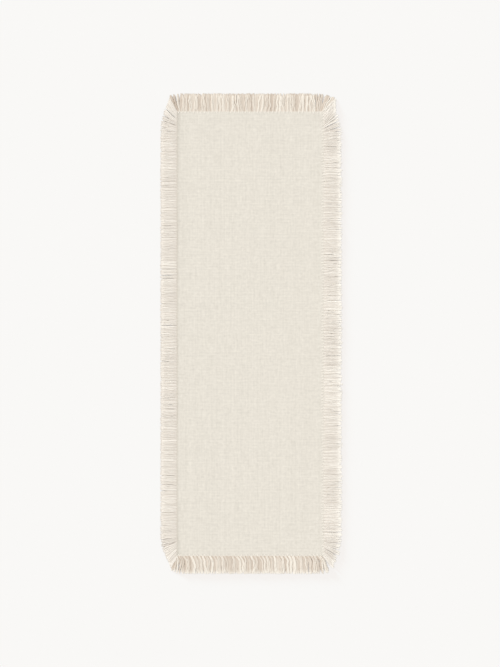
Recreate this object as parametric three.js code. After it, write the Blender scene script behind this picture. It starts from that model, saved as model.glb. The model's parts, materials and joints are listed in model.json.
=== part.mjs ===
// Table runner: one woven cloth, stitching along its four edges, and a yarn fringe all round.
// Millimetres. X runs across the runner, Y along it and Z up. The underside lies on Z = 0 and
// the origin is its centre. The cloth folds in quarters, so it is built as four sections that
// meet on three fold lines: a near end, a near middle, a far middle and a far end.

import * as THREE from 'three';

// Clearance between pieces that touch
const GAP = 0.3;

// Woven cloth inside the stitching
const CLOTH_WIDTH = 359;
const CLOTH_LENGTH = 1102;

// Loft of the cloth, its stitching and its fringe as they lie flat
const THICKNESS = 2.4;

// Stitching that keeps the weave from fraying past the fringe
const STITCH_WIDTH = 3.4;

// Fringe: how far its strands stand out past the stitching
const SIDE_FRINGE = 40;
const END_FRINGE = 45;

// Strands, drawn as tapering bundles of yarn out of a narrow header
const HEADER_WIDTH = 3;
const BUNDLE_PITCH = 6;
const BUNDLE_ROOT_WIDTH = 5;
const BUNDLE_TIP_WIDTH = 4;

// Corners, where the strands lean outwards to fill the gap and come out shorter
const CORNER_LEAN = THREE.MathUtils.degToRad(42);
const CORNER_SHORTENING = 0.16;
const SIDE_FAN_REACH = 48;
const END_FAN_REACH = 26;

// When both ends are folded in, their tips stop this far short of the centre line
const FOLDED_TIP_CLEARANCE = 4;

// Edges of the stitching and of the fringe, measured from the centre
const SEAM = GAP + STITCH_WIDTH;
const STITCHED_HALF_WIDTH = CLOTH_WIDTH / 2 + SEAM;
const STITCHED_HALF_LENGTH = CLOTH_LENGTH / 2 + SEAM;
const FRINGE_X = STITCHED_HALF_WIDTH + GAP;
const FRINGE_Y = STITCHED_HALF_LENGTH + GAP;

// Fold lines. An outer fold turns about a line just above the cloth.
const OUTER_FOLD_Y = (FRINGE_Y + END_FRINGE + FOLDED_TIP_CLEARANCE) / 2;
const OUTER_FOLD_Z = THICKNESS + GAP / 2;

const CLOTH_MATERIAL = new THREE.MeshStandardMaterial({ color: 0xe7e1d6, roughness: 0.95, metalness: 0 });
const STITCH_MATERIAL = new THREE.MeshStandardMaterial({ color: 0xefe8db, roughness: 0.85, metalness: 0 });
const END_YARN_MATERIAL = new THREE.MeshStandardMaterial({ color: 0xe6d9ca, roughness: 0.95, metalness: 0 });
const SIDE_YARN_MATERIAL = new THREE.MeshStandardMaterial({ color: 0xece3d4, roughness: 0.95, metalness: 0 });

// How a section ends: at the runner's own edge, squarely at the centre fold, or mitred at an
// outer fold, so that the end can also hang straight down over a table's edge.
const EDGE = () => 0;
const SQUARE = () => GAP / 2;
const MITRE = (z) => OUTER_FOLD_Z - z + GAP / Math.SQRT2;

const SECTIONS = [
  { name: 'near_end', from: -STITCHED_HALF_LENGTH, to: -OUTER_FOLD_Y, fromCut: EDGE, toCut: MITRE },
  { name: 'near_middle', from: -OUTER_FOLD_Y, to: 0, fromCut: MITRE, toCut: SQUARE },
  { name: 'far_middle', from: 0, to: OUTER_FOLD_Y, fromCut: SQUARE, toCut: MITRE },
  { name: 'far_end', from: OUTER_FOLD_Y, to: STITCHED_HALF_LENGTH, fromCut: MITRE, toCut: EDGE },
];

// A slab whose side view is the section's stretch of the runner, extruded across it.
function slabGeometry({ from, to, fromCut, toCut }, width) {
  const side = new THREE.Shape([
    new THREE.Vector2(from + fromCut(0), 0),
    new THREE.Vector2(to - toCut(0), 0),
    new THREE.Vector2(to - toCut(THICKNESS), THICKNESS),
    new THREE.Vector2(from + fromCut(THICKNESS), THICKNESS),
  ]);
  const slab = new THREE.ExtrudeGeometry(side, { depth: width, bevelEnabled: false });
  const alongY = new THREE.Vector3(0, 1, 0);
  const alongZ = new THREE.Vector3(0, 0, 1);
  const alongX = new THREE.Vector3(1, 0, 0);
  return slab.applyMatrix4(new THREE.Matrix4().makeBasis(alongY, alongZ, alongX));
}

function clothSection(section) {
  const from = Math.max(section.from, -CLOTH_LENGTH / 2);
  const to = Math.min(section.to, CLOTH_LENGTH / 2);
  const mesh = new THREE.Mesh(slabGeometry({ ...section, from, to }, CLOTH_WIDTH), CLOTH_MATERIAL);
  mesh.name = `cloth_${section.name}`;
  mesh.position.x = -CLOTH_WIDTH / 2;
  return mesh;
}

function sideStitching(section, side) {
  const mesh = new THREE.Mesh(slabGeometry(section, STITCH_WIDTH), STITCH_MATERIAL);
  mesh.name = `${side.name}_stitching_${section.name}`;
  const middle = side.sign * (STITCHED_HALF_WIDTH - STITCH_WIDTH / 2);
  mesh.position.x = middle - STITCH_WIDTH / 2;
  return mesh;
}

function endStitching(end) {
  const row = new THREE.BoxGeometry(CLOTH_WIDTH, STITCH_WIDTH, THICKNESS);
  const mesh = new THREE.Mesh(row, STITCH_MATERIAL);
  mesh.name = `${end.name}_stitching`;
  mesh.position.set(0, end.sign * (STITCHED_HALF_LENGTH - STITCH_WIDTH / 2), THICKNESS / 2);
  return mesh;
}

// 0 away from the corners at -corner and corner, rising smoothly to -1 and 1 over the last reach.
function towardsCorner(along, corner, reach) {
  const depth = THREE.MathUtils.smoothstep(Math.abs(along), corner - reach, corner);
  return Math.sign(along) * depth;
}

// Outline of a header with strands on its outer side. u runs along the edge and v out from it.
// Near a corner each strand leans towards it and is shorter.
function fringeOutline(from, to, strandLength, corner, fanReach) {
  const count = Math.max(1, Math.round((to - from) / BUNDLE_PITCH));
  const pitch = (to - from) / count;
  const rootWidth = BUNDLE_ROOT_WIDTH * (pitch / BUNDLE_PITCH);
  const outline = [new THREE.Vector2(from, 0), new THREE.Vector2(from, HEADER_WIDTH)];
  for (let i = 0; i < count; i++) {
    const u = from + (i + 0.5) * pitch;
    const turn = towardsCorner(u, corner, fanReach);
    const lean = CORNER_LEAN * turn;
    const length = (strandLength - HEADER_WIDTH) * (1 - CORNER_SHORTENING * Math.abs(turn));
    const out = new THREE.Vector2(Math.sin(lean), Math.cos(lean));
    const across = new THREE.Vector2(out.y, -out.x).multiplyScalar(BUNDLE_TIP_WIDTH / 2);
    const tip = new THREE.Vector2(u, HEADER_WIDTH).addScaledVector(out, length);
    outline.push(new THREE.Vector2(u - rootWidth / 2, HEADER_WIDTH));
    outline.push(tip.clone().sub(across), tip.clone().add(across));
    outline.push(new THREE.Vector2(u + rootWidth / 2, HEADER_WIDTH));
  }
  outline.push(new THREE.Vector2(to, HEADER_WIDTH), new THREE.Vector2(to, 0));
  return outline;
}

function fringeMesh(name, outline, material) {
  const options = { depth: THICKNESS, bevelEnabled: false };
  const mesh = new THREE.Mesh(new THREE.ExtrudeGeometry(new THREE.Shape(outline), options), material);
  mesh.name = name;
  return mesh;
}

function sideFringe(section, side) {
  const from = section.from + section.fromCut(0);
  const to = section.to - section.toCut(0);
  const flat = fringeOutline(from, to, SIDE_FRINGE, STITCHED_HALF_LENGTH, SIDE_FAN_REACH);
  const outline = flat.map((p) => new THREE.Vector2(side.sign * (FRINGE_X + p.y), p.x));
  return fringeMesh(`${side.name}_fringe_${section.name}`, outline, SIDE_YARN_MATERIAL);
}

function endFringe(end) {
  const halfWidth = STITCHED_HALF_WIDTH;
  const flat = fringeOutline(-halfWidth, halfWidth, END_FRINGE, halfWidth, END_FAN_REACH);
  const outline = flat.map((p) => new THREE.Vector2(p.x, end.sign * (FRINGE_Y + p.y)));
  return fringeMesh(`${end.name}_fringe`, outline, END_YARN_MATERIAL);
}

function tableRunner() {
  const runner = new THREE.Group();
  const sides = [{ name: 'left', sign: -1 }, { name: 'right', sign: 1 }];
  const ends = [{ name: 'near', sign: -1 }, { name: 'far', sign: 1 }];
  for (const section of SECTIONS) {
    runner.add(clothSection(section));
    for (const side of sides) {
      runner.add(sideStitching(section, side), sideFringe(section, side));
    }
  }
  for (const end of ends) {
    runner.add(endStitching(end), endFringe(end));
  }
  return runner;
}

export default tableRunner();
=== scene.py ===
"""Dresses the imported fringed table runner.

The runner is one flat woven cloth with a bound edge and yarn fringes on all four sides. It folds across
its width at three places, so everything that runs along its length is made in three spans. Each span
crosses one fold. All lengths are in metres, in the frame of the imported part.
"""

from __future__ import annotations

import json
import logging
from abc import ABC, abstractmethod
from dataclasses import dataclass, field, replace
from enum import Enum
from typing import ClassVar

import bpy
import numpy as np
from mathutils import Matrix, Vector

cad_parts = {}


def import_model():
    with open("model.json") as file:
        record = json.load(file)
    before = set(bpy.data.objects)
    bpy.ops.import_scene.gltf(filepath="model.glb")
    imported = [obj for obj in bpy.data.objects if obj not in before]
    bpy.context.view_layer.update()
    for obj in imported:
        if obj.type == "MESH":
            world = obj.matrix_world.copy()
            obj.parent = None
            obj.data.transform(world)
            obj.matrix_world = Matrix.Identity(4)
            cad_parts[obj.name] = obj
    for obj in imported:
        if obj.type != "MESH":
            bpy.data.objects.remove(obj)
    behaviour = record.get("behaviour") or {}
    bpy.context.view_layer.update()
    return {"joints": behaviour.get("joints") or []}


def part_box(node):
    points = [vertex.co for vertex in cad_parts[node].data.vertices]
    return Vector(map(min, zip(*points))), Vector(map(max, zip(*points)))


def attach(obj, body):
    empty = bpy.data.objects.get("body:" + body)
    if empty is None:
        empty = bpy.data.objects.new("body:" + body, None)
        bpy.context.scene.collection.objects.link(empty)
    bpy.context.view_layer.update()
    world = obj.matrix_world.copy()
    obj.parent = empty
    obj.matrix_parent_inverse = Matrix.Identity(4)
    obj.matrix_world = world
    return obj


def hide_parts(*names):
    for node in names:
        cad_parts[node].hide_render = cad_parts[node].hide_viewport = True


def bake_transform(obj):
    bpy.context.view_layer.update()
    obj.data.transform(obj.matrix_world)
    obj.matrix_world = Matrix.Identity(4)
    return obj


Array = np.ndarray
Colour = tuple[float, float, float]
Socket = bpy.types.NodeSocket
LOG = logging.getLogger("table_runner")
MM = 0.001

# How much light falls on a level surface, where 1 shows a white one as white. The low light falls on the
# floor alone and is given by channel.
KEY_LIGHT = 0.15
FILL_LIGHT = 1.03
LOW_LIGHT = (0.042, 0.068, 0.080)


# ---------------------------------------------------------------------------------------------------
# Named options
# ---------------------------------------------------------------------------------------------------


class Edge(Enum):
    """The runner's four edges, each with the way that its fringe points and the way that it runs."""

    LEFT = ((-1.0, 0.0), (0.0, 1.0))
    RIGHT = ((1.0, 0.0), (0.0, 1.0))
    NEAR = ((0.0, -1.0), (1.0, 0.0))
    FAR = ((0.0, 1.0), (1.0, 0.0))

    @property
    def outward(self) -> Array:
        """The level direction from the cloth to the tips of the fringe."""
        return np.array(self.value[0])

    @property
    def along(self) -> Array:
        """The level direction that the edge runs in."""
        return np.array(self.value[1])

    @property
    def is_end(self) -> bool:
        """Whether this is one of the two short edges."""
        return self in (Edge.NEAR, Edge.FAR)


class Slot(Enum):
    """The record's material slots."""

    CLOTH = "woven_cloth"
    STITCHING = "stitching_thread"
    SIDE_YARN = "side_yarn"
    END_YARN = "end_yarn"


@dataclass(frozen=True)
class Span:
    """A stretch of the length that crosses one fold.

    Attributes:
        name: The word that its pieces carry.
        low_body: The body on its near side.
        high_body: The body on its far side.
        start: Where the stretch begins along the length.
        stop: Where it ends.
        fold: Where its fold lies.
        reach: How far the cloth turns on each side of the fold.
    """

    name: str
    low_body: str
    high_body: str
    start: float
    stop: float
    fold: float
    reach: float

    def bend(self, piece: bpy.types.Object) -> None:
        """Bakes a piece's placement into its mesh."""
        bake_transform(piece)

    def holds(self, places: Array) -> Array:
        """Which places along the length belong to this stretch."""
        return (places >= self.start) & (places < self.stop)

    def within(self, half_length: float) -> tuple[float, float]:
        """Where the stretch begins and ends on a piece of this half length."""
        return max(self.start, -half_length), min(self.stop, half_length)

    def bend_places(self) -> Array:
        """Places close together over the bend and a little way past it."""
        margin, count = 1.6, 33
        return self.fold + np.linspace(-margin, margin, count) * self.reach


@dataclass(frozen=True)
class RunnerSizes:
    """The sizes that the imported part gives.

    Attributes:
        cloth_x: Half the width of the bound cloth.
        cloth_y: Half the length of the bound cloth.
        loft: The height of the thickest yarn.
        spans: The three stretches along the length.
    """

    cloth_x: float
    cloth_y: float
    loft: float
    spans: tuple[Span, Span, Span]

    @classmethod
    def from_frame(cls, joints: list[dict]) -> RunnerSizes:
        """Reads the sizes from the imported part.

        The stretches meet half way between the folds. A fold line lies above the cloth, and the cloth turns
        over half that height on each side of it.

        Args:
            joints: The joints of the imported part.

        Returns:
            The sizes of the runner.
        """
        folds = {joint["name"]: joint["pos_m"] for joint in joints}
        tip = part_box("far_fringe")[1]
        outer = folds["far_end_fold"][1]
        cut = outer / 2
        tight = folds["far_end_fold"][2] / 2
        loose = folds["centre_fold"][2] / 2
        spans = (
            Span("near", "near_end", "near_middle", -tip.y, -cut, -outer, tight),
            Span("middle", "near_middle", "far_middle", -cut, cut, 0.0, loose),
            Span("far", "far_middle", "far_end", cut, tip.y, outer, tight),
        )
        cloth_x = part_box("right_stitching_far_middle")[1].x
        cloth_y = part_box("far_stitching")[1].y
        return cls(cloth_x, cloth_y, tip.z, spans)


# ---------------------------------------------------------------------------------------------------
# Shader helpers
# ---------------------------------------------------------------------------------------------------


def reflectance(colour: Colour, more: Colour = (0.0, 0.0, 0.0)) -> tuple[float, float, float, float]:
    """The reflectance that shows as a display colour where the studio's light is unobstructed.

    The display curve is undone for each channel, and the light that falls there divided out.

    Args:
        colour: The display colour, from 0 to 255.
        more: The light that falls on the surface besides the key light and the fill.

    Returns:
        The reflectance, with 1 as its fourth channel.
    """
    channels = np.array(colour) / 255.0
    values = ((channels + 0.055) / 1.055) ** 2.4 / (KEY_LIGHT + FILL_LIGHT + np.array(more))
    return (*values.tolist(), 1.0)


@dataclass
class ShaderGraph:
    """A material's nodes, added one at a time.

    Attributes:
        material: The material that is being made.
        nodes: Its nodes.
        surface: Its surface shader.
    """

    material: bpy.types.Material
    nodes: bpy.types.Nodes = field(init=False)
    surface: bpy.types.Node = field(init=False)

    def __post_init__(self) -> None:
        """Starts the graph with its surface shader."""
        self.material.use_nodes = True
        self.nodes = self.material.node_tree.nodes
        self.surface = self.nodes["Principled BSDF"]

    def link(self, source: Socket, target: Socket) -> None:
        """Joins an output to an input."""
        self.material.node_tree.links.new(source, target)

    def feed(self, socket: Socket, value: object) -> None:
        """Links a socket to another socket, or sets its value to a constant."""
        if isinstance(value, Socket):
            self.link(value, socket)
        else:
            socket.default_value = value

    def maths(self, operation: str, first: object, second: object = 0.0) -> Socket:
        """Adds one Math node.

        Args:
            operation: The node's operation.
            first: A socket or a number.
            second: A socket or a number.

        Returns:
            The node's result.
        """
        node = self.nodes.new("ShaderNodeMath")
        node.operation = operation
        self.feed(node.inputs[0], first)
        self.feed(node.inputs[1], second)
        return node.outputs[0]

    def times(self, source: Socket, factor: object) -> Socket:
        """A socket times a factor."""
        return self.maths("MULTIPLY", source, factor)

    def total(self, *terms: object) -> Socket:
        """Adds up sockets and numbers."""
        result = terms[0]
        for term in terms[1:]:
            result = self.maths("ADD", result, term)
        return result

    def surface_map(self, first: float, second: float) -> Socket:
        """The piece's own surface coordinates, scaled.

        Args:
            first: How many pattern units a metre holds in the first direction.
            second: How many it holds in the second direction.

        Returns:
            The scaled coordinates.
        """
        coordinates = self.nodes.new("ShaderNodeTexCoord")
        mapping = self.nodes.new("ShaderNodeMapping")
        mapping.inputs["Scale"].default_value = (first, second, 1.0)
        self.link(coordinates.outputs["UV"], mapping.inputs["Vector"])
        return mapping.outputs[0]

    def surface_axes(self, first: float, second: float) -> tuple[Socket, Socket]:
        """The two scaled surface coordinates, each by itself."""
        split = self.nodes.new("ShaderNodeSeparateXYZ")
        self.link(self.surface_map(first, second), split.inputs[0])
        return split.outputs[0], split.outputs[1]

    def noise(self, first: float, second: float, detail: float) -> Socket:
        """A soft noise about zero, from about -0.5 to 0.5.

        Args:
            first: How many noise cells a metre holds in the first direction.
            second: How many it holds in the second direction.
            detail: How many finer layers the noise has.

        Returns:
            The noise.
        """
        node = self.nodes.new("ShaderNodeTexNoise")
        node.inputs["Scale"].default_value = 1.0
        node.inputs["Detail"].default_value = detail
        self.link(self.surface_map(first, second), node.inputs["Vector"])
        return self.maths("SUBTRACT", node.outputs[0], 0.5)

    def tinted(self, low: object, high: object, share: object) -> Socket:
        """A colour between two others, or beyond them where the share is below 0 or above 1.

        Args:
            low: The colour at share 0.
            high: The colour at share 1.
            share: A socket or a number.

        Returns:
            The mixed colour.
        """
        node = self.nodes.new("ShaderNodeMix")
        node.data_type = "RGBA"
        node.clamp_factor = False
        self.feed(node.inputs["Factor"], share)
        self.feed(node.inputs[6], low)
        self.feed(node.inputs[7], high)
        return node.outputs[2]

    def brightened(self, colour: object, factor: object) -> Socket:
        """A colour times a factor."""
        node = self.nodes.new("ShaderNodeVectorMath")
        node.operation = "SCALE"
        self.feed(node.inputs[0], colour)
        self.feed(node.inputs["Scale"], factor)
        return node.outputs[0]

    def attribute(self, name: str) -> Socket:
        """A number kept on the mesh."""
        node = self.nodes.new("ShaderNodeAttribute")
        node.attribute_name = name
        return node.outputs["Fac"]

    def paint(self, colour: Socket) -> None:
        """Gives the surface its colour."""
        self.link(colour, self.surface.inputs["Base Color"])

    def relief(self, height: Socket, depth: float) -> None:
        """Gives the surface a bump.

        Args:
            height: The height, where 1 stands for the full depth.
            depth: The full depth in metres.
        """
        bump = self.nodes.new("ShaderNodeBump")
        bump.inputs["Strength"].default_value = 1.0
        bump.inputs["Distance"].default_value = depth
        self.link(height, bump.inputs["Height"])
        self.link(bump.outputs[0], self.surface.inputs["Normal"])

    def matt(self, roughness: float, gloss: float = 0.0, fuzz: float = 0.0) -> None:
        """Makes the surface matt.

        Args:
            roughness: How rough it is, from 0 to 1.
            gloss: How much it reflects, where 0.5 is usual.
            fuzz: How strongly its loose fibres catch the light.
        """
        self.surface.inputs["Roughness"].default_value = roughness
        self.surface.inputs["Specular IOR Level"].default_value = gloss
        self.surface.inputs["Sheen Weight"].default_value = fuzz
        self.surface.inputs["Sheen Roughness"].default_value = 0.6


# ---------------------------------------------------------------------------------------------------
# Finishes
# ---------------------------------------------------------------------------------------------------


@dataclass(frozen=True)
class WovenFinish:
    """A plain weave of slightly uneven cotton yarns.

    Attributes:
        colour: The cloth's display colour, from 0 to 255.
        pitch: The distance from one yarn to the next.
        slub: How much the thick and thin stretches of yarn change the tone.
        band: How much one whole yarn differs from the next.
        cloud: How much the tone drifts over the cloth.
        grain: How much small patches of yarn differ.
        painted_crown_light: How much lighter the yarns' crowns are, painted light on the weave.
        ground: The tone between the yarns, painted shade in the hollows of the weave.
        depth: The depth of the weave.
        wander: How far a lengthwise yarn strays from straight, in radians of the weave's sine.
    """

    colour: Colour = (235.9, 229.6, 217.4)
    pitch: float = 1.25 * MM
    slub: float = 0.13
    band: float = 0.065
    cloud: float = 0.03
    grain: float = 0.17
    painted_crown_light: float = 0.03
    ground: float = 0.98
    depth: float = 0.12 * MM
    wander: float = 1.6

    def material(self) -> bpy.types.Material:
        """Builds the weave on the cloth's own surface coordinates, across the width and along the length.

        Returns:
            The finished material.
        """
        graph = ShaderGraph(bpy.data.materials.new("woven_cotton"))
        ends_slub = graph.noise(240.0, 38.0, 1.0)
        picks_slub = graph.noise(45.0, 240.0, 1.0)
        weave = self.weave(graph)
        # The weave paints light on the yarns' crowns and shade in the hollows between them.
        tone = graph.total(
            graph.times(ends_slub, self.slub),
            graph.times(picks_slub, self.slub),
            graph.times(graph.noise(260.0, 1.5, 0.0), self.band),
            graph.times(graph.noise(1.5, 260.0, 0.0), self.band),
            graph.times(graph.noise(22.0, 16.0, 2.0), self.cloud),
            graph.times(graph.noise(150.0, 150.0, 1.0), self.grain),
            graph.times(weave, self.painted_crown_light),
            self.ground,
        )
        # The tone attribute carries the painted shade along the cloth's left edge and its corners.
        graph.paint(self.shaded(graph, graph.times(tone, graph.attribute("tone"))))
        height = graph.total(weave, graph.times(ends_slub, 0.8), graph.times(picks_slub, 0.8))
        graph.relief(height, self.depth)
        graph.matt(0.92, gloss=0.15, fuzz=0.08)
        return graph.material

    def shaded(self, graph: ShaderGraph, tone: Socket) -> Socket:
        """The cloth's colour at a tone, its three display channels all moved by the same step.

        Args:
            graph: The material's nodes.
            tone: The tone, where 1 is the cloth's own.

        Returns:
            The colour.
        """
        step = 22.0
        own = reflectance(self.colour)
        low = reflectance(tuple(channel - step for channel in self.colour))
        high = reflectance(tuple(channel + step for channel in self.colour))
        reach = high[1] - low[1]
        share = graph.maths("ADD", graph.times(tone, own[1] / reach), -low[1] / reach)
        return graph.tinted(low, high, share)

    def weave(self, graph: ShaderGraph) -> Socket:
        """The height of a plain weave.

        Lengthwise yarns are the size of a sine across the width, crosswise yarns the size of a sine along
        the length. Where the product of the two sines is positive the lengthwise yarn is on top, and
        elsewhere the crosswise one.

        Args:
            graph: The material's nodes.

        Returns:
            The height, from 0 to 1.
        """
        wander = graph.times(graph.noise(55.0, 45.0, 1.0), self.wander)
        turns = np.pi / self.pitch
        width, length = graph.surface_axes(turns, turns)
        across = graph.maths("SINE", graph.maths("ADD", width, wander))
        along = graph.maths("SINE", length)
        mixed = graph.nodes.new("ShaderNodeMix")
        graph.link(graph.maths("GREATER_THAN", graph.times(across, along), 0.0), mixed.inputs[0])
        graph.link(graph.maths("ABSOLUTE", along), mixed.inputs[2])
        graph.link(graph.maths("ABSOLUTE", across), mixed.inputs[3])
        return mixed.outputs[0]


@dataclass(frozen=True)
class YarnFinish:
    """A soft twisted cotton yarn.

    Attributes:
        name: The material's name.
        shade: The display colour of the darkest yarns, from 0 to 255.
        light: The display colour of the lightest yarns, from 0 to 255.
        twist: How far along the yarn one full turn of a ply goes.
        depth: How deep the groove between the plies is.
        drift: How much the tone drifts along a yarn.
        painted_crown_light: How much lighter the plies' crowns are, painted light on the twist.
        fibre: How much single fibres differ.
        ground: The tone between the plies, painted shade in the grooves.
    """

    name: str
    shade: Colour
    light: Colour
    twist: float = 7.0 * MM
    depth: float = 0.09 * MM
    drift: float = 0.35
    painted_crown_light: float = 0.06
    fibre: float = 0.08
    ground: float = 0.97

    def material(self) -> bpy.types.Material:
        """Builds the twist on the yarn's own surface coordinates.

        The first coordinate is the distance along the yarn in metres and the second goes once round it. The
        plies are the size of a sine of half a turn for each ply round the yarn plus the twist along it.

        Returns:
            The finished material.
        """
        graph = ShaderGraph(bpy.data.materials.new(self.name))
        along, around = graph.surface_axes(2 * np.pi / self.twist, 2 * np.pi)
        ply = graph.maths("ABSOLUTE", graph.maths("SINE", graph.maths("ADD", along, around)))
        fibre = graph.noise(500.0, 9.0, 2.0)
        drift = graph.noise(90.0, 0.0, 1.0)
        share = graph.total(graph.attribute("tone"), graph.times(drift, self.drift))
        base = graph.tinted(reflectance(self.shade), reflectance(self.light), share)
        # The plies' crowns get painted light and the grooves between them painted shade.
        tone = graph.total(graph.times(ply, self.painted_crown_light), graph.times(fibre, self.fibre), self.ground)
        graph.paint(graph.brightened(base, tone))
        graph.relief(graph.total(ply, graph.times(fibre, 0.5)), self.depth)
        graph.matt(0.9, gloss=0.15, fuzz=0.1)
        return graph.material


@dataclass(frozen=True)
class FloorFinish:
    """A plain pale matt floor.

    Attributes:
        colour: The floor's display colour, from 0 to 255.
        mottle: How much the tone changes from place to place.
    """

    colour: Colour = (249.1, 248.0, 246.1)
    mottle: float = 0.002

    def material(self) -> bpy.types.Material:
        """Builds the floor's material.

        Returns:
            The finished material.
        """
        graph = ShaderGraph(bpy.data.materials.new("pale_floor"))
        tone = graph.total(graph.times(graph.noise(3.0, 3.0, 1.0), self.mottle), 1.0)
        graph.paint(graph.brightened(reflectance(self.colour, LOW_LIGHT)[:3], tone))
        graph.matt(0.9)
        return graph.material


# ---------------------------------------------------------------------------------------------------
# Surfaces
# ---------------------------------------------------------------------------------------------------


@dataclass
class Surface:
    """A mesh in the making.

    Attributes:
        points: The vertices, one row each.
        quads: The four-sided faces.
        quad_uv: The surface coordinates of each quad's corners.
        caps: Closing faces with any one number of corners.
        tone: A number for each vertex, which its material reads as a tone; on the cloth and at the yarns'
            roots and tips it carries painted light and shade.
        flat_caps: Whether the closing faces are shaded flat.
    """

    points: Array
    quads: Array
    quad_uv: Array
    caps: Array
    tone: Array
    flat_caps: bool = False

    @staticmethod
    def joined(parts: list[Surface]) -> Surface:
        """Puts surfaces whose caps have as many corners into one."""
        steps = np.cumsum([0] + [len(part.points) for part in parts])
        shifted = list(zip(parts, steps))
        return Surface(
            np.concatenate([part.points for part in parts]),
            np.concatenate([part.quads + step for part, step in shifted]),
            np.concatenate([part.quad_uv for part in parts]),
            np.concatenate([part.caps + step for part, step in shifted]),
            np.concatenate([part.tone for part in parts]),
        )

    def picked(self, wanted: Array) -> Surface:
        """Keeps some of the tubes of a surface of equal tubes.

        Args:
            wanted: Which tubes to keep.

        Returns:
            The surface of those tubes.
        """
        count = len(wanted)
        points = np.repeat(wanted, len(self.points) // count)
        quads = np.repeat(wanted, len(self.quads) // count)
        caps = np.concatenate([wanted, wanted])
        fresh = np.cumsum(points) - 1
        return Surface(
            self.points[points],
            fresh[self.quads[quads]],
            self.quad_uv[quads],
            fresh[self.caps[caps]],
            self.tone[points],
        )

    def build(self, name: str, material: bpy.types.Material) -> bpy.types.Object:
        """Makes the object.

        Args:
            name: The piece's name.
            material: Its finish.

        Returns:
            The object, at the origin.
        """
        mesh = bpy.data.meshes.new(name)
        mesh.from_pydata(self.points.tolist(), [], self.quads.tolist() + self.caps.tolist())
        cap_uv = self.points[self.caps.ravel()][:, :2] if self.caps.size else np.zeros((0, 2))
        corners = np.concatenate([self.quad_uv.reshape(-1, 2), cap_uv])
        layer = mesh.uv_layers.new(name="UVMap")
        layer.data.foreach_set("uv", corners.astype(np.float32).ravel())
        smooth = (np.arange(len(mesh.polygons)) < len(self.quads)) | (not self.flat_caps)
        mesh.polygons.foreach_set("use_smooth", smooth)
        tone = mesh.attributes.new("tone", "FLOAT", "POINT")
        tone.data.foreach_set("value", self.tone.astype(np.float32))
        mesh.materials.append(material)
        mesh.update()
        piece = bpy.data.objects.new(name, mesh)
        bpy.context.scene.collection.objects.link(piece)
        return piece


def unit(vectors: Array) -> Array:
    """Vectors along the last axis, scaled to length 1."""
    return vectors / np.maximum(np.linalg.norm(vectors, axis=-1, keepdims=True), 1e-12)


def smooth_step(values: Array) -> Array:
    """A soft ramp from 0 to 1 as the values go from 0 to 1."""
    held = np.clip(values, 0.0, 1.0)
    return held * held * (3 - 2 * held)


def in_order(places: list[Array]) -> Array:
    """All the places in order, each one once."""
    return np.unique(np.round(np.concatenate(places), 7))


def uneven(draw: np.random.Generator, share: float, count: int) -> Array:
    """Random factors about 1, at most the share away from it."""
    return draw.uniform(1 - share, 1 + share, count)


def tubes(lines: Array, across: Array, upward: Array, tone: Array, sides: int) -> Surface:
    """Carries an oval section along many centrelines at once.

    A point is the centreline's point, plus the cosine of its angle times the half width to the level side,
    plus the sine times the half height at right angles to that and to the line. The first surface
    coordinate is the distance along the line, from a start of its own for each tube, and the second goes
    once round it.

    Args:
        lines: Centrelines, as (tube, step, 3).
        across: Half widths, as (tube, step).
        upward: Half heights, as (tube, step).
        tone: The tone of each tube at each step, as (tube, step).
        sides: How many sides the section has.

    Returns:
        The surface of all the tubes.
    """
    count, steps, _ = lines.shape
    tangent = unit(np.gradient(lines, axis=1))
    level = tangent * np.array([1.0, 1.0, 0.0])
    side = unit(np.cross(np.array([0.0, 0.0, 1.0]), level))
    lift = np.cross(tangent, side)
    angle = 2 * np.pi * np.arange(sides) / sides
    ring = (
        lines[:, :, None, :]
        + (across[:, :, None] * np.cos(angle))[..., None] * side[:, :, None, :]
        + (upward[:, :, None] * np.sin(angle))[..., None] * lift[:, :, None, :]
    )
    index = np.arange(count * steps * sides).reshape(count, steps, sides)
    turned = np.roll(index, -1, axis=2)
    quads = np.stack([index[:, :-1], turned[:, :-1], turned[:, 1:], index[:, 1:]], axis=-1)
    apart = 0.137  # how far on from its neighbour's a tube's first coordinate starts
    gone = np.linalg.norm(np.diff(lines, axis=1), axis=-1)
    far = np.concatenate([np.zeros((count, 1)), np.cumsum(gone, axis=1)], axis=1)
    far = far + np.arange(count)[:, None] * apart
    shape = (count, steps - 1, sides)
    start = np.broadcast_to(far[:, :-1, None], shape)
    stop = np.broadcast_to(far[:, 1:, None], shape)
    here = np.broadcast_to(np.arange(sides) / sides, shape)
    after = here + 1 / sides
    corners = ((start, here), (start, after), (stop, after), (stop, here))
    uv = np.stack([np.stack(corner, axis=-1) for corner in corners], axis=-2)
    caps = np.concatenate([index[:, 0, ::-1], index[:, -1, :]])
    tones = np.repeat(tone.reshape(-1), sides)
    return Surface(ring.reshape(-1, 3), quads.reshape(-1, 4), uv.reshape(-1, 4, 2), caps, tones)


def finished(piece: bpy.types.Object, slot: Slot) -> None:
    """Reports how many faces a piece has."""
    LOG.info("%s: %d faces", piece.name, len(piece.data.polygons))


# ---------------------------------------------------------------------------------------------------
# Cloth
# ---------------------------------------------------------------------------------------------------


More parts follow.
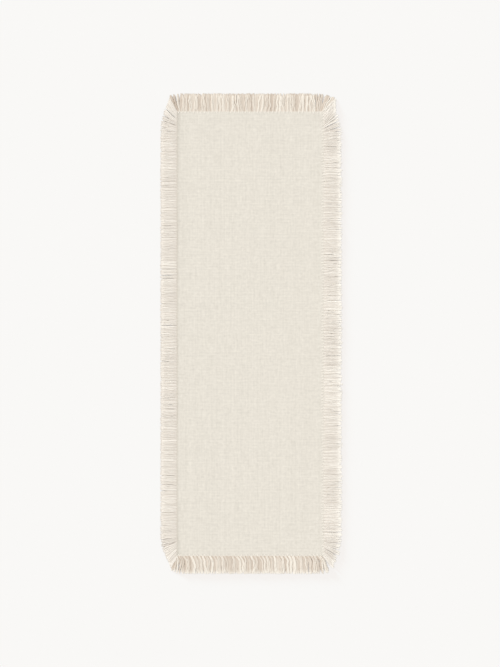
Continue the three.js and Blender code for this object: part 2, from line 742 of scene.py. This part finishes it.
@dataclass
class ClothPanel:
    """The woven cloth, in three spans that meet without a seam.

    Attributes:
        sizes: The runner's sizes.
        top: How high the cloth's face lies.
        swell: How much the face rises and falls.
        rim: How far in from the edge the face begins to round over.
        inset: How far the cloth stays behind the bound edge.
        cell: The length of a cell of its mesh.
        columns: How many columns of vertices its mesh has, besides those at its edges.
        painted_edge_shade: How much painted shade darkens the cloth along the left edge.
        painted_edge_shade_reach: How far in from that edge this painted shade fades.
        painted_corner_shade: How much more painted shade darkens it at the corners of that edge.
        painted_corner_shade_reach: How far along the edge this painted shade fades.
    """

    sizes: RunnerSizes
    top: float = 1.4 * MM
    swell: float = 0.1 * MM
    rim: float = 0.5 * MM
    inset: float = 0.3 * MM
    cell: float = 4.5 * MM
    columns: int = 84
    painted_edge_shade: float = 0.065
    painted_edge_shade_reach: float = 4.5 * MM
    painted_corner_shade: float = 0.20
    painted_corner_shade_reach: float = 45 * MM

    @property
    def half_width(self) -> float:
        """Half the width of the cloth under its binding."""
        return self.sizes.cloth_x - self.inset

    @property
    def half_length(self) -> float:
        """Half the length of the cloth under its binding."""
        return self.sizes.cloth_y - self.inset

    @property
    def rounding(self) -> Array:
        """Distances in from an edge over which the face rounds over."""
        return self.rim * np.array([0.0, 0.1, 0.3, 0.6, 1.0])

    def height(self, x: Array, y: Array) -> Array:
        """The height of the face.

        A flat sheet with four long low waves, each a sine of a slanted distance, and rounded down to half
        its height along the outer edges as a quarter circle.

        Args:
            x: Places across the width.
            y: Places along the length.

        Returns:
            The height at each place.
        """
        waves = (
            np.sin(31 * x + 17 * y + 0.4)
            + np.sin(-23 * x + 41 * y + 1.9)
            + 0.7 * np.sin(67 * x + 29 * y + 4.0)
            + 0.5 * np.sin(-88 * x + 73 * y + 2.7)
        )
        tallest = 1 + 1 + 0.7 + 0.5
        margin = np.minimum(self.half_width - np.abs(x), self.half_length - np.abs(y))
        inward = np.clip(margin / self.rim, 0.0, 1.0)
        round_over = np.sqrt(np.clip(1 - (1 - inward) ** 2, 0.0, 1.0))
        return (self.top + self.swell * waves / tallest) * (0.5 + 0.5 * round_over)

    def tone(self, x: Array, y: Array) -> Array:
        """How light the cloth is, where 1 is its own tone.

        Painted shade darkens it along the left edge, and over a wider strip at that edge's two corners, more
        at the far one. The first fades away as an exponential of the distance and the second as a bell.
        """
        inward = (x + self.half_width) / self.painted_edge_shade_reach
        more_at_far = 0.85 + 0.2 * np.sign(y)
        corner = np.exp(-(self.half_length - np.abs(y)) / self.painted_corner_shade_reach) * more_at_far
        bell = np.exp(-((0.6 * inward) ** 2))
        # Painted shade: darker towards the left edge, and more at its corners.
        return 1 - self.painted_edge_shade * np.exp(-inward) - self.painted_corner_shade * corner * bell

    def lengthwise(self, span: Span) -> Array:
        """Places along the length, close together at the fold, at a cut and at the outer edge."""
        start, stop = span.within(self.half_length)
        beside_cut = 0.03 * MM
        places = [
            np.linspace(start, stop, int(round((stop - start) / self.cell))),
            span.bend_places(),
            np.array([start + beside_cut, stop - beside_cut]),
        ]
        if span.name == "near":
            places.append(start + self.rounding)
        if span.name == "far":
            places.append(stop - self.rounding)
        return in_order(places)

    def crosswise(self) -> Array:
        """Places across the width, close together at both edges and over the strip of painted shade."""
        darker = MM * np.array([1.2, 2.4, 3.8, 5.5, 7.5, 10.0])
        middle = np.linspace(-self.half_width, self.half_width, self.columns)
        left = [darker - self.half_width, self.rounding - self.half_width]
        return in_order([middle, *left, self.half_width - self.rounding])

    def surface(self, span: Span) -> Surface:
        """One closed sheet.

        The face and the underside are grids over the same places, joined by a wall all the way round. The
        underside lies on the floor and curves up towards the face at the outer edges.

        Args:
            span: The stretch to make.

        Returns:
            The surface of that stretch.
        """
        grid_x, grid_y = np.meshgrid(self.crosswise(), self.lengthwise(span), indexing="ij")
        count = grid_x.size
        face = self.height(grid_x, grid_y)
        dip = 0.2 * MM  # how far the face may come down before the underside curves up
        under = np.clip(self.top - face - dip, 0.0, None)
        sheets = [np.stack([grid_x, grid_y, up], axis=-1).reshape(-1, 3) for up in (face, under)]
        points = np.concatenate(sheets)
        index = np.arange(count).reshape(grid_x.shape)
        above = np.stack([index[:-1, :-1], index[1:, :-1], index[1:, 1:], index[:-1, 1:]], axis=-1)
        above = above.reshape(-1, 4)
        below = above[:, ::-1] + count
        rim = np.concatenate([index[:, 0], index[-1, 1:], index[-2::-1, -1], index[0, -2:0:-1]])
        beyond = np.roll(rim, -1)
        wall = np.stack([rim + count, beyond + count, beyond, rim], axis=-1)
        quads = np.concatenate([above, below])
        tone = self.tone(points[:, 0], points[:, 1])
        return Surface(points, quads, points[quads][..., :2], wall, tone, flat_caps=True)

    def build(self, finish: WovenFinish) -> None:
        """Makes the three pieces of cloth, near to far.

        Args:
            finish: The weave.
        """
        material = finish.material()
        for span in self.sizes.spans:
            piece = self.surface(span).build(f"woven_cloth_{span.name}", material)
            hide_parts(f"cloth_{span.low_body}", f"cloth_{span.high_body}")
            span.bend(piece)
            start, stop = span.within(self.half_length)
            finished(piece, Slot.CLOTH)


# ---------------------------------------------------------------------------------------------------
# What runs along an edge
# ---------------------------------------------------------------------------------------------------


@dataclass
class EdgeTrim(ABC):
    """What runs along one edge of the runner, as rows of equal tubes.

    Attributes:
        word: The word that its pieces carry.
        node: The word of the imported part's pieces that they replace.
        sizes: The runner's sizes.
        edge: Which edge it is.
    """

    word: ClassVar[str]
    node: ClassVar[str]
    sizes: RunnerSizes
    edge: Edge

    @property
    def line(self) -> float:
        """How far the bound edge is from the middle of the runner."""
        return self.sizes.cloth_y if self.edge.is_end else self.sizes.cloth_x

    @property
    def half_run(self) -> float:
        """Half the length of the bound edge."""
        return self.sizes.cloth_x if self.edge.is_end else self.sizes.cloth_y

    @property
    @abstractmethod
    def slot(self) -> Slot:
        """The record's slot for its material."""

    @abstractmethod
    def rows(self) -> list[tuple[Surface, Array]]:
        """The rows of tubes, each with the tubes' places along the edge."""

    def core(self, span: Span | None) -> list[Surface]:
        """What runs on under the rows, over one stretch of the length or along a whole end."""
        return []

    def spaced(self, pitch: float) -> Array:
        """Even places along the edge, as near the pitch as a whole number of them allows."""
        count = int(round(2 * self.half_run / pitch))
        return -self.half_run + (np.arange(count) + 0.5) * 2 * self.half_run / count

    def placed(self, along: Array, out: Array, up: Array) -> Array:
        """Points from their distance along the edge, out from it and above the floor."""
        flat = along[..., None] * self.edge.along + (self.line + out)[..., None] * self.edge.outward
        return np.concatenate([flat, up[..., None]], axis=-1)

    def build(self, material: bpy.types.Material) -> None:
        """Makes one piece along an end, or along a side three, one for each stretch of the length.

        Args:
            material: The finish.
        """
        side = self.edge.name.lower()
        rows = self.rows()
        if self.edge.is_end:
            whole = Surface.joined(self.core(None) + [row for row, _ in rows])
            piece = whole.build(f"{side}_{self.word}", material)
            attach(piece, f"{side}_end")
            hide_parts(f"{side}_{self.node}")
            finished(piece, self.slot)
            return
        for span in self.sizes.spans:
            kept = [row.picked(span.holds(places)) for row, places in rows]
            whole = Surface.joined(self.core(span) + kept)
            piece = whole.build(f"{side}_{self.word}_{span.name}", material)
            nodes = [f"{side}_{self.node}_{body}" for body in (span.low_body, span.high_body)]
            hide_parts(*nodes)
            span.bend(piece)
            finished(piece, self.slot)


# ---------------------------------------------------------------------------------------------------
# Bound edge
# ---------------------------------------------------------------------------------------------------


@dataclass
class BoundEdge(EdgeTrim):
    """The stitches that bind one edge, over a thin cord that fills the edge out.

    Attributes:
        pitch: The distance from one stitch to the next.
        slant: How far a stitch moves along the edge as it crosses it.
        bite: How far in from the bound edge a stitch goes down into the cloth.
        grip: How far out from the bound edge it holds the fringe.
        thread: Half the thickness of the thread.
        tallest: The most that half its height is.
        crest: The height of the stitches over the cord.
        rise: How high a stitch comes out of the cloth.
        fall: How high it goes down between the yarns.
        tone: The mean tone of the thread, which each edge sets: painted shade on the left, painted light on
            the right and far edges.
        seed: The start of its random draws.
    """

    word: ClassVar[str] = "bound_edge"
    node: ClassVar[str] = "stitching"
    pitch: float
    slant: float
    bite: float = 3.6 * MM
    grip: float = 2.2 * MM
    thread: float = 0.42 * MM
    tallest: float = 0.5 * MM
    crest: float = 1.55 * MM
    rise: float = 1.0 * MM
    fall: float = 0.7 * MM
    tone: float = 0.7
    seed: int = 1

    @property
    def slot(self) -> Slot:
        """The record's slot for its material."""
        return Slot.STITCHING

    def rows(self) -> list[tuple[Surface, Array]]:
        """The row of stitches.

        Each stitch rises out of the cloth, passes over the cord as half a sine and goes down at the roots of
        the fringe, moving steadily along the edge by the slant.

        Returns:
            The surface with each stitch's place along the edge.
        """
        draw = np.random.default_rng(self.seed)
        place = self.spaced(self.pitch)
        count = len(place)
        place = place + draw.normal(0.0, 0.07 * self.pitch, count)
        share = np.linspace(0.0, 1.0, 8)
        bite = self.bite * uneven(draw, 0.15, count)
        out = -bite[:, None] + (bite + self.grip)[:, None] * share
        slant = self.slant * uneven(draw, 0.2, count)
        along = place[:, None] + slant[:, None] * (share - 0.5)
        arch = (self.crest - self.rise) * np.sin(np.pi * share) ** 0.8
        up = self.rise + (self.fall - self.rise) * share + arch
        up = np.broadcast_to(up, along.shape) + draw.normal(0.0, 0.04 * MM, count)[:, None]
        alike = np.ones(len(share))
        thick = self.thread * uneven(draw, 0.15, count)[:, None] * alike
        tone = np.clip(self.tone + draw.normal(0.0, 0.12, count), 0.0, 1.0)[:, None] * alike
        across, height = 1.25 * thick, np.minimum(thick, self.tallest)
        return [(tubes(self.placed(along, out, up), across, height, tone, 5), place)]

    def core(self, span: Span | None) -> list[Surface]:
        """The cord under the stitches, an oval line that sways a little from side to side.

        Args:
            span: The stretch of the length that it covers, or none for the whole of an end.

        Returns:
            The surface of the cord.
        """
        start, stop = span.within(self.half_run) if span else (-self.half_run, self.half_run)
        places = [np.linspace(start, stop, max(4, int((stop - start) / (5 * MM))))]
        if span:
            places.append(span.bend_places())
        along = in_order(places)[None, :]
        inset, sway, level = 0.4 * MM, 0.12 * MM, 0.95 * MM
        half_width, half_height = 1.5 * MM, 0.62 * MM
        alike = np.ones_like(along)
        line = self.placed(along, sway * np.sin(410 * along) - inset, level * alike)
        # The cord takes this edge's thread tone, with its painted light or shade, less a quarter.
        return [tubes(line, half_width * alike, half_height * alike, (self.tone - 0.25) * alike, 5)]


# ---------------------------------------------------------------------------------------------------
# Fringe
# ---------------------------------------------------------------------------------------------------


@dataclass(frozen=True)
class YarnLayer:
    """One layer of a fringe.

    Attributes:
        pitch: The distance from one yarn to the next.
        width: Half the width of a yarn.
        height: Half the height of a yarn.
        level: How high its middle lies.
        tone: The mean tone.
        spread: How much the tone changes from yarn to yarn.
        wave: How far a yarn strays from straight.
        lean: How much the lean changes from yarn to yarn, in radians.
        pair: How far two neighbours draw together at their roots.
        fill: How much wider a leaning yarn is, so that it fills the fan at a corner.
        root: The share of the fringe's painted light and shade at the roots that it takes.
        less: How much shorter its yarns are than the fringe.
        own: How much of its draws a yarn has to itself, where it shares the rest with its partner. A layer
            without partners has 0 here.
        parted: The share of the drawing together by which partners part again at their tips.
        ragged: How much the length changes from yarn to yarn, as a share of it.
        pinch: The share of its width that a yarn loses at its root.
    """

    pitch: float
    width: float
    height: float
    level: float
    tone: float
    spread: float
    wave: float
    lean: float
    pair: float = 0.0
    fill: float = 0.0
    root: float = 1.0
    less: float = 0.0
    own: float = 0.0
    parted: float = 1.0
    ragged: float = 0.012
    pinch: float = 0.0

    def scattered(self, draw: np.random.Generator, spread: float, count: int) -> Array:
        """Random values about zero, none beyond two standard deviations, which partners mostly share.

        Args:
            draw: The random draws.
            spread: The standard deviation.
            count: How many yarns there are.

        Returns:
            One value for each yarn.
        """
        common, single = np.clip(draw.normal(0.0, spread, (2, count)), -2 * spread, 2 * spread)
        if not self.own:
            return common
        return np.sqrt(1 - self.own**2) * common[np.arange(count) // 2] + self.own * single


@dataclass(frozen=True)
class Fan:
    """How the yarns turn towards one corner.

    Attributes:
        lean: The lean at the corner, in radians.
        reach: How far from the corner the turn begins.
        held: How far from the corner the whole lean is kept.
        short: The share of its length that the yarn at the corner loses.
        tint: How much lighter the yarns at the corner are, or darker if it is below zero.
        band: How far from the corner the tint goes.
    """

    lean: float
    reach: float
    held: float = 0.0
    short: float = 0.0
    tint: float = 0.0
    band: float = 4.5 * MM

    def turned(self, corner: Array) -> Array:
        """The lean of a yarn at its distance from the corner."""
        return self.lean * (1 - smooth_step((corner - self.held) / (self.reach - self.held)))

    def lost(self, corner: Array) -> Array:
        """The share of its length that a yarn loses, which ends a little short of the turn."""
        return self.short * (1 - smooth_step(corner / (0.8 * self.reach)))

    def tinted(self, corner: Array) -> Array:
        """A yarn's change of tone: the tint within the band, and half of it the other way beside it."""
        beside = abs(corner / self.band - 1.6) < 0.6
        return self.tint * ((corner < self.band) - 0.5 * beside)


@dataclass
class YarnRow:
    """The yarns of one layer in the making, with a row for each yarn and a column for each step along it.

    Attributes:
        layer: The layer.
        draw: Its random draws.
        root: Each root's place along the edge.
        turn: Each yarn's turn towards a corner, in radians.
        partner: The number of each yarn's pair, or its own number where there are no partners.
        share: How far along a yarn each step is, from 0 to 1.
        gone: How far from its root each step of each yarn is.
        phase: Three random angles for each yarn.
        thinned: How far into a yarn's thin tip each step is, from 0 to 1.
    """

    layer: YarnLayer
    draw: np.random.Generator
    root: Array
    turn: Array
    partner: Array
    share: Array
    gone: Array
    phase: Array
    thinned: Array

    @property
    def count(self) -> int:
        """How many yarns there are."""
        return len(self.root)

    def shared(self, low: float, high: float) -> Array:
        """An even random draw for each yarn, the same for partners, as a column."""
        return self.draw.uniform(low, high, self.count)[self.partner][:, None]

    def near_root(self, reach: float) -> Array:
        """1 where a yarn comes out of the stitches, falling softly to 0 over the reach."""
        covered = 2 * MM
        return 1 - smooth_step((self.gone - covered) / reach)

    def strayed(self) -> Array:
        """How far each step is to one side, as a long and a short sine that grow from nothing."""
        long_wave, short_wave = self.shared(0.9, 1.5), self.shared(2.2, 3.4)
        slow = np.sin(2 * np.pi * long_wave * self.share + self.phase[:, :1]) - np.sin(self.phase[:, :1])
        quick = 0.45 * np.sin(2 * np.pi * short_wave * self.share + self.phase[:, 1:2])
        size = self.layer.wave * self.shared(0.4, 1.3)
        return size * (slow + quick) * smooth_step(self.share * 3)

    def girth(self, thin: float) -> tuple[Array, Array]:
        """Half the width and half the height at each step.

        The width swells and shrinks as a sine and closes towards the tip. It is pinched at the root and
        grows where the yarn leans.

        Args:
            thin: The share of its width that a yarn loses at its tip.

        Returns:
            The half widths and the half heights.
        """
        layer = self.layer
        swell = 1 + 0.10 * np.sin(2 * np.pi * 3.1 * self.share + self.phase[:, 2:])
        tip = 1 - thin * self.thinned
        fill = 1 + layer.fill * np.abs(self.turn)[:, None] * smooth_step(self.share * 1.5)
        pinch = 1 - layer.pinch * self.near_root(16 * MM)
        width = layer.width * uneven(self.draw, 0.15, self.count)[:, None]
        across = width * swell * fill * tip * pinch
        return across, layer.height * np.broadcast_to(1 - 0.75 * self.thinned, across.shape)


@dataclass
class Fringe(EdgeTrim):
    """The yarns along one edge, in two layers that fan out at the corners.

    Attributes:
        length: How long a yarn is.
        layers: The layers, lowest first.
        fans: How the yarns turn at the edge's start and at its end.
        tip: The share of a yarn's length over which it thins out.
        thin: The share of its width that a yarn loses at its tip.
        painted_tip_shading: How much lighter the yarns are at their tips as painted light, or darker below
            zero as painted shade.
        hook: How far the roots start to one side.
        hook_reach: How far out a yarn has come back from there.
        painted_root_shading: How much lighter the yarns are at their roots as painted light, or darker below
            zero as painted shade.
        drift: How much the tone changes from one clump of yarns to the next.
        streak: How much more it changes where the yarns turn towards a corner.
        depth: How far in from the bound edge a yarn starts.
        seed: The start of its random draws.
    """

    word: ClassVar[str] = "yarn_fringe"
    node: ClassVar[str] = "fringe"
    length: float
    layers: tuple[YarnLayer, ...]
    fans: tuple[Fan, Fan]
    tip: float = 0.12
    thin: float = 0.6
    painted_tip_shading: float = 0.3
    hook: float = 0.0
    hook_reach: float = 17 * MM
    painted_root_shading: float = 0.0
    drift: float = 0.0
    streak: float = 0.0
    depth: float = 2.2 * MM
    seed: int = 1

    @property
    def slot(self) -> Slot:
        """The record's slot for its material."""
        return Slot.END_YARN if self.edge.is_end else Slot.SIDE_YARN

    def rows(self) -> list[tuple[Surface, Array]]:
        """The layers of yarns, each with its roots' places along the edge."""
        seeds = 100 * self.seed + np.arange(len(self.layers))
        return [self.yarns(layer, seed) for layer, seed in zip(self.layers, seeds)]

    def turned(self, root: Array) -> tuple[Array, Array, Array]:
        """What the corners do to each yarn.

        Args:
            root: Each root's place along the edge.

        Returns:
            Each yarn's turn, the share of its length that it keeps and its change of tone.
        """
        turn, kept, tint = np.zeros_like(root), np.ones_like(root), np.zeros_like(root)
        for sign, fan in zip((-1.0, 1.0), self.fans):
            corner = self.half_run - sign * root
            turn = turn + sign * fan.turned(corner)
            kept = kept - fan.lost(corner)
            tint = tint + fan.tinted(corner)
        return turn, kept, tint

    def yarns(self, layer: YarnLayer, seed: int) -> tuple[Surface, Array]:
        """One layer of yarns.

        A yarn's middle goes out from its root along its lean. It strays to the side by its waves and by its
        hook, which dies away. Where yarns turn towards a corner they lean and hook less unevenly.

        Args:
            layer: The layer to make.
            seed: The start of its random draws.

        Returns:
            The surface and each root's place along the edge.
        """
        draw = np.random.default_rng(seed)
        root = self.spaced(layer.pitch)
        number = np.arange(len(root))
        inwards = np.where(number % 2 == 0, 1.0, -1.0)
        root = root + draw.normal(0.0, 0.10 * layer.pitch, len(root)) + inwards * layer.pair
        turn, kept, tint = self.turned(root)
        calm = 1 - 0.6 * np.clip(np.abs(turn), 0.0, 1.0)
        lean = turn + layer.scattered(draw, layer.lean, len(root)) * calm
        lean = (lean - inwards * calm * layer.parted * layer.pair / self.length)[:, None]
        length = (self.length - layer.less) * kept
        length = length * (1 + layer.scattered(draw, layer.ragged, len(root)))
        steps, blunt = 10, 0.99
        share = np.append(np.linspace(0.0, blunt, steps), 1.0)
        gone = length[:, None] * share
        partner = number // 2 if layer.own else number
        phase = draw.uniform(0.0, 2 * np.pi, (len(root), 3))[partner]
        phase = phase + draw.normal(0.0, layer.own, (len(root), 3))
        thinned = smooth_step((share - 1 + self.tip) / self.tip)
        row = YarnRow(layer, draw, root, turn, partner, share, gone, phase, thinned)
        hooked = self.hook * calm[:, None] * (1 - smooth_step(gone / self.hook_reach))
        sideways = row.strayed() - hooked
        out = gone * np.cos(lean) - sideways * np.sin(lean) - self.depth
        along = root[:, None] + gone * np.sin(lean) + sideways * np.cos(lean)
        points = self.placed(along, out, self.climb(row))
        across, height = row.girth(self.thin)
        return tubes(points, across, height, self.tones(row, tint), 6), root

    def climb(self, row: YarnRow) -> Array:
        """The height of each yarn's middle.

        It comes out low from under the stitches, climbs softly to its own level over a few millimetres and
        comes down close to the floor as it thins out at the tip.
        """
        layer = row.layer
        covered, climb = 1.0 * MM, 8.0 * MM
        start, landed = 0.75 * MM, 0.2 * MM + 0.15 * (layer.level - 0.8 * MM)
        landing = 1.6 * self.tip
        settled = layer.level + row.draw.normal(0.0, 0.05 * MM, row.count)[:, None]
        risen = smooth_step((row.gone - covered) / climb)
        sunk = smooth_step((row.share - 1 + landing) / landing)
        up = start + (settled - start) * risen
        up = up + (landed - up) * sunk
        lowest = (layer.height + 0.05 * MM) * (1 - 0.7 * sunk)
        return np.clip(up, lowest, self.sizes.loft - layer.height)

    def tones(self, row: YarnRow, tint: Array) -> Array:
        """The tone at each step of each yarn.

        It changes from yarn to yarn, from clump to clump and, where the yarns turn, from bundle to bundle.
        Each yarn then has painted light and shade at its root and at its tip.

        Args:
            row: The yarns.
            tint: Each yarn's change of tone at a corner.

        Returns:
            The tones, where 0 is the darkest yarn, 1 the lightest and only a tip is beyond that.
        """
        layer = row.layer
        bundle_width, root_reach, darkest = 6 * MM, 11 * MM, 0.08
        bundle = max(1, int(round(bundle_width / layer.pitch)))
        streak = row.draw.normal(0.0, self.streak, row.count // bundle + 1)
        streak = np.repeat(streak, bundle)[: row.count]
        tone = layer.tone + layer.scattered(row.draw, layer.spread, row.count)
        tone = tone + self.clumps(row.root) + tint
        tone = tone + streak * np.clip(2 * np.abs(row.turn), 0.0, 1.0)
        # Painted shading at the roots: lighter above zero, darker below zero.
        tone = tone[:, None] + self.painted_root_shading * layer.root * row.near_root(root_reach)
        # Painted light at the tips, which may lift them past the lightest yarn.
        return np.clip(np.clip(tone, darkest, 1.0) + self.painted_tip_shading * row.thinned, 0.0, 1.25)

    def clumps(self, root: Array) -> Array:
        """How much lighter each yarn is for the clump that it stands in.

        The tone runs straight from one random value to the next along the edge, and a little way past it.
        """
        draw = np.random.default_rng(self.seed)
        apart, margin = 9 * MM, 10 * MM
        knots = np.arange(-self.half_run - margin, self.half_run + 2 * margin, apart)
        return np.interp(root, knots, draw.normal(0.0, self.drift, len(knots)))


# ---------------------------------------------------------------------------------------------------
# Studio
# ---------------------------------------------------------------------------------------------------


@dataclass(frozen=True)
class Sun:
    """A far light.

    Attributes:
        name: Its name.
        light: How much light it throws on a level surface, by channel.
        height: How high it stands, in radians.
        side: Its compass turn from the far side towards the left, in radians.
        size: How wide it looks, in radians.
    """

    name: str
    light: Colour
    height: float
    side: float
    size: float

    def build(self) -> bpy.types.Object:
        """Hangs the light up."""
        strongest = max(self.light)
        sun = bpy.data.lights.new(self.name, "SUN")
        sun.color = tuple(channel / strongest for channel in self.light)
        sun.energy = np.pi * strongest / np.sin(self.height)
        sun.angle = self.size
        lamp = bpy.data.objects.new(self.name, sun)
        lamp.rotation_euler = (0.0, np.pi / 2 - self.height, np.pi / 2 + self.side)
        bpy.context.scene.collection.objects.link(lamp)
        return lamp


@dataclass(frozen=True)
class Studio:
    """A pale floor, a soft key light from the far left, an even fill and a camera straight above.

    Attributes:
        key_light: The light that shapes the yarns.
        low_light: A light that falls on the floor alone, and only gives the runner its soft warm shadow.
        floor_half: Half the width of the floor.
        floor_gap: How far under the runner the floor lies.
        camera_height: How high the camera is.
        frame_length: The length of floor that the camera's long side sees.
        aim: The place that the camera looks at.
    """

    key_light: Sun = Sun("key_light", (KEY_LIGHT,) * 3, height=0.30, side=0.95, size=0.50)
    low_light: Sun = Sun("low_light", LOW_LIGHT, height=0.041, side=0.785, size=0.033)
    floor_half: float = 40.0
    floor_gap: float = 0.05 * MM
    camera_height: float = 3.0
    frame_length: float = 1.6675
    aim: tuple[float, float] = (-0.0005, 0.0006)

    def floor(self) -> bpy.types.Object:
        """Lays the floor."""
        corners = self.floor_half * np.array([[-1.0, -1.0], [1.0, -1.0], [1.0, 1.0], [-1.0, 1.0]])
        points = np.insert(corners, 2, -self.floor_gap, axis=1)
        quads = np.array([[0, 1, 2, 3]])
        surface = Surface(points, quads, points[quads][..., :2], np.zeros((0, 4), int), np.zeros(4))
        floor = surface.build("floor", FloorFinish().material())
        return floor

    def lights(self, floor: bpy.types.Object) -> None:
        """Sets the two lights and the fill."""
        self.key_light.build()
        lit = bpy.data.collections.new("lit_by_low_light")
        lit.objects.link(floor)
        self.low_light.build().light_linking.receiver_collection = lit
        world = bpy.data.worlds.new("even_fill")
        world.use_nodes = True
        background = world.node_tree.nodes["Background"]
        background.inputs["Color"].default_value = (1.0, 1.0, 1.0, 1.0)
        background.inputs["Strength"].default_value = FILL_LIGHT
        bpy.context.scene.world = world

    def camera(self) -> None:
        """Hangs the camera straight above the runner."""
        lens = bpy.data.cameras.new("camera")
        lens.lens = lens.sensor_width * self.camera_height / self.frame_length
        lens.clip_end = 200.0
        camera = bpy.data.objects.new("camera", lens)
        camera.location = (*self.aim, self.camera_height)
        bpy.context.scene.collection.objects.link(camera)
        bpy.context.scene.camera = camera

    def build(self) -> None:
        """Sets up the whole studio."""
        self.lights(self.floor())
        self.camera()
        bpy.context.scene.view_settings.view_transform = "Standard"
        bpy.context.scene.view_settings.look = "None"
        LOG.info("studio: floor, two lights, fill and camera")


# ---------------------------------------------------------------------------------------------------
# The runner
# ---------------------------------------------------------------------------------------------------


def bound_edges(sizes: RunnerSizes) -> list[BoundEdge]:
    """The four bound edges, each with its own stitch and thread tone: painted shade on the left, painted
    light on the right and far.
    """
    # One thread, darker on the left edge as painted shade and lighter on the right and far edges as painted
    # light.
    left = BoundEdge(sizes, Edge.LEFT, 3.65 * MM, 1.6 * MM, thread=0.55 * MM, tone=0.0, seed=11)
    right = replace(left, edge=Edge.RIGHT, pitch=7.3 * MM, thread=1.2 * MM, tone=1.0, seed=12)
    right = replace(right, bite=5.0 * MM, grip=3.4 * MM)
    near = BoundEdge(sizes, Edge.NEAR, 9.4 * MM, 4.5 * MM, thread=1.3 * MM, tone=0.8, seed=13)
    far = replace(near, edge=Edge.FAR, slant=2.0 * MM, tone=1.0, seed=14)
    return [left, right, near, far]


def side_layers() -> tuple[YarnLayer, YarnLayer]:
    """The two layers of a side fringe: flat yarns, darker in colour and with painted shade, under light ones
    in pairs.
    """
    under = YarnLayer(
        pitch=3.0 * MM,
        width=2.3 * MM,
        height=0.5 * MM,
        level=0.8 * MM,
        # A lower tone than the upper layer's: tan yarn colour plus painted shade beneath it.
        tone=0.33,
        spread=0.08,
        wave=0.4 * MM,
        lean=0.02,
        fill=0.5,
    )
    over = YarnLayer(
        pitch=3.65 * MM,
        width=1.2 * MM,
        height=0.5 * MM,
        level=1.6 * MM,
        tone=0.66,
        spread=0.13,
        wave=0.6 * MM,
        lean=0.04,
        pair=0.75 * MM,
        root=0.2,
        less=1.2 * MM,
        own=0.4,
        pinch=0.25,
    )
    return under, over


def end_layers() -> tuple[YarnLayer, YarnLayer]:
    """The two layers of an end fringe, coarser and looser than a side's."""
    under, over = side_layers()
    over = replace(over, pitch=4.7 * MM, width=1.4 * MM, tone=0.80, spread=0.15, wave=1.2 * MM, lean=0.08)
    return (
        # The lower yarns again darker, in colour and with painted shade.
        replace(under, width=2.6 * MM, tone=0.34, spread=0.09, wave=0.7 * MM),
        replace(over, pair=1.1 * MM, root=0.15, own=0.25, parted=0.2, ragged=0.03, pinch=0.0),
    )


def fringes(sizes: RunnerSizes) -> list[Fringe]:
    """The four fringes.

    The two short ones have darker and looser yarns. The right one's light yarns carry painted light at
    their roots over painted shade on the yarns below, and thin out with painted light at their tips.
    """
    sides, ends = side_layers(), end_layers()
    # Painted light at the roots of the right fringe's upper yarns, painted shade at the roots of the yarns
    # below.
    painted_root_contrast = (
        replace(sides[0], root=-1.0, ragged=0.03),
        replace(sides[1], root=1.0, less=-1.0 * MM, ragged=0.035, pinch=0.4),
    )
    left = Fringe(
        sizes,
        Edge.LEFT,
        43.5 * MM,
        sides,
        fans=(Fan(1.05, 60 * MM, short=0.15), Fan(1.08, 60 * MM)),
        painted_tip_shading=-0.05,
        painted_root_shading=-0.42,
        drift=0.06,
        streak=0.2,
        seed=21,
    )
    right = Fringe(
        sizes,
        Edge.RIGHT,
        46.4 * MM,
        painted_root_contrast,
        fans=(Fan(0.88, 48 * MM, short=0.14, tint=0.4, band=12 * MM), Fan(0.82, 60 * MM, held=28 * MM)),
        tip=0.3,
        thin=0.4,
        painted_tip_shading=1.0,
        painted_root_shading=0.30,
        drift=0.09,
        streak=0.2,
        seed=22,
    )
    near = Fringe(
        sizes,
        Edge.NEAR,
        47.2 * MM,
        ends,
        fans=(Fan(0.37, 14 * MM, short=0.1, tint=-0.45), Fan(0.28, 18 * MM, tint=0.3, band=8 * MM)),
        tip=0.2,
        thin=0.5,
        painted_tip_shading=0.7,
        hook=7 * MM,
        painted_root_shading=-0.8,
        drift=0.13,
        seed=23,
    )
    far = Fringe(
        sizes,
        Edge.FAR,
        48.0 * MM,
        ends,
        fans=(Fan(0.40, 12 * MM, tint=-0.6), Fan(0.66, 24 * MM, tint=0.3)),
        painted_tip_shading=0.1,
        drift=0.17,
        seed=24,
    )
    return [left, right, near, far]


def main() -> None:
    """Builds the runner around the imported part."""
    logging.basicConfig(level=logging.INFO, format="%(name)s: %(message)s")
    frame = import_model()
    sizes = RunnerSizes.from_frame(frame["joints"])
    ClothPanel(sizes).build(WovenFinish())
    thread = YarnFinish(
        "binding_thread", (226, 218, 205), (247, 240, 228), twist=2.4 * MM, depth=0.1 * MM
    ).material()
    for edge in bound_edges(sizes):
        edge.build(thread)
    side_yarn = YarnFinish("side_fringe_yarn", (226.6, 217.4, 205.8), (256, 249.6, 239)).material()
    end_yarn = YarnFinish("end_fringe_yarn", (211, 195, 178), (252, 244, 231)).material()
    for fringe in fringes(sizes):
        fringe.build(end_yarn if fringe.edge.is_end else side_yarn)
    Studio().build()


if __name__ == "__main__":
    main()
